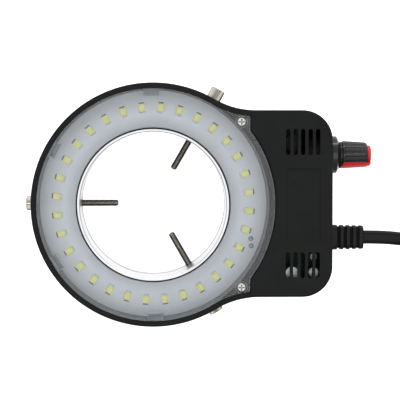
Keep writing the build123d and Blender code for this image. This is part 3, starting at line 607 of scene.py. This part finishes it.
def led_details():
    """Domed phosphor gel in each LED, and the solder fillets at its two ends."""
    gel_rings = [(rounded_rectangle(*size), LED_TOP_Z + rise) for *size, rise in GEL_PROFILE]
    domes = mesh_piece("led_gel_domes", *around_leds(gel_rings), gel)
    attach(domes, "housing")
    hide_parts("led_phosphors")
    # The outer fillets take the solder painted near black and the inner ones the pale tin: a shaded and a lit
    # copy of the same solder.
    for name, sign, finish in (("led_solder_outer", 1, shaded_solder), ("led_solder_inner", -1, tin)):
        end = sign * LED_LENGTH / 2
        rings = []
        for share, rise in FILLET_PROFILE:
            length = FILLET_LENGTH * share
            width = FILLET_WIDTH - FILLET_NARROWING * (1 - share)
            outline = rounded_rectangle(length, width, FILLET_CORNER * share, 2)
            middle = end + sign * (length / 2 - FILLET_OVERLAP)
            rings.append(([(x + middle, y) for x, y in outline], LED_BASE_Z + rise))
        fillets = mesh_piece(name, *around_leds(rings), finish)
        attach(fillets, "housing")
        if sign > 0:
            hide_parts("led_terminals")


thumb_screws()
led_details()


# ---- floor, light and camera: lengths in metres unless marked ----
FLOOR_REACH = 3.0
FLOOR_GAP = 0.0002
FOCAL_LENGTH_MM = 135.07
SENSOR_WIDTH_MM = 36.0
CAMERA_EYE = Vector((0.0028, 0.0306, 0.650))
CAMERA_AIM = Vector((0.01949, 0.00209, 0.026))


def studio_floor():
    """Plain pale floor just below the rear face."""
    mesh = bpy.data.meshes.new("floor")
    corners = [(x * FLOOR_REACH, y * FLOOR_REACH, 0) for x, y in ((-1, -1), (1, -1), (1, 1), (-1, 1))]
    mesh.from_pydata(corners, [], [(0, 1, 2, 3)])
    floor = bpy.data.objects.new("floor", mesh)
    scene.collection.objects.link(floor)
    floor.location.z = -FLOOR_GAP
    made, tree, shader = new_material("floor_paper")
    where = millimetres(tree)
    paper = mix_colour(tree, noise(tree, where, 0.02), (0.78, 0.78, 0.78), (0.8, 0.8, 0.8))
    put(shader.inputs["Base Color"], paper)
    put(shader.inputs["Roughness"], 0.8)
    facing = add(tree, "LayerWeight", None, {"Blend": 0.5}).outputs["Facing"]
    put(shader.inputs["Emission Color"], (1.0, 1.0, 1.0))
    put(shader.inputs["Emission Strength"], spread(tree, facing, 1.0, 0.35, 0.05, 0.4))
    mesh.materials.append(made)


def soft_light(name, place, target, size, watts):
    """Rectangular area light that faces the target."""
    light = bpy.data.lights.new(name, "AREA")
    light.shape = "RECTANGLE"
    light.size, light.size_y = size
    light.energy = watts
    lamp = bpy.data.objects.new(name, light)
    scene.collection.objects.link(lamp)
    lamp.location = place
    lamp.rotation_euler = (Vector(target) - Vector(place)).to_track_quat("-Z", "Y").to_euler()


def studio_world():
    """Pale surroundings, brighter on the window side, seen by the camera as plain white."""
    world = bpy.data.worlds.new("studio")
    scene.world = world
    world.use_nodes = True
    tree = world.node_tree
    direction = add(tree, "SeparateXYZ", None, {0: add(tree, "TexCoord").outputs["Generated"]})
    window_side = spread(tree, direction.outputs[1], 0.4, 1.35, -0.5, 0.5)
    strength = spread(tree, direction.outputs[2], window_side, 0.85, 0.4, 0.85)
    seen_directly = add(tree, "LightPath").outputs["Is Camera Ray"]
    put(tree.nodes["Background"].inputs["Color"], (1.0, 1.0, 1.0))
    put(tree.nodes["Background"].inputs["Strength"], spread(tree, seen_directly, strength, 1.0, 0.0, 1.0))


def photo_camera():
    """Camera above the lamp face, looking almost straight down the bore."""
    data = bpy.data.cameras.new("camera")
    data.sensor_width = SENSOR_WIDTH_MM
    data.lens = FOCAL_LENGTH_MM
    data.clip_start = 0.01
    data.clip_end = 20.0
    camera = bpy.data.objects.new("camera", data)
    scene.collection.objects.link(camera)
    back = (CAMERA_EYE - CAMERA_AIM).normalized()
    right = Vector((0, 1, 0)).cross(back).normalized()
    upward = back.cross(right)
    rotation = Matrix((right, upward, back)).transposed()
    camera.matrix_world = Matrix.Translation(CAMERA_EYE) @ rotation.to_4x4()
    scene.camera = camera


studio_floor()
studio_world()
soft_light("strip", (0.05, 0.9, 0.3), (0.05, 0, 0.0), (1.2, 0.15), 3.4)
soft_light("key", (0.05, -0.12, 0.95), (0.02, 0, 0.0), (0.8, 0.6), 1.8)
soft_light("fill", (-0.2, 0.4, 0.8), (0.02, 0, 0.0), (0.5, 0.5), 1.0)
photo_camera()
scene.view_settings.view_transform = "Standard"
scene.view_settings.look = "None"
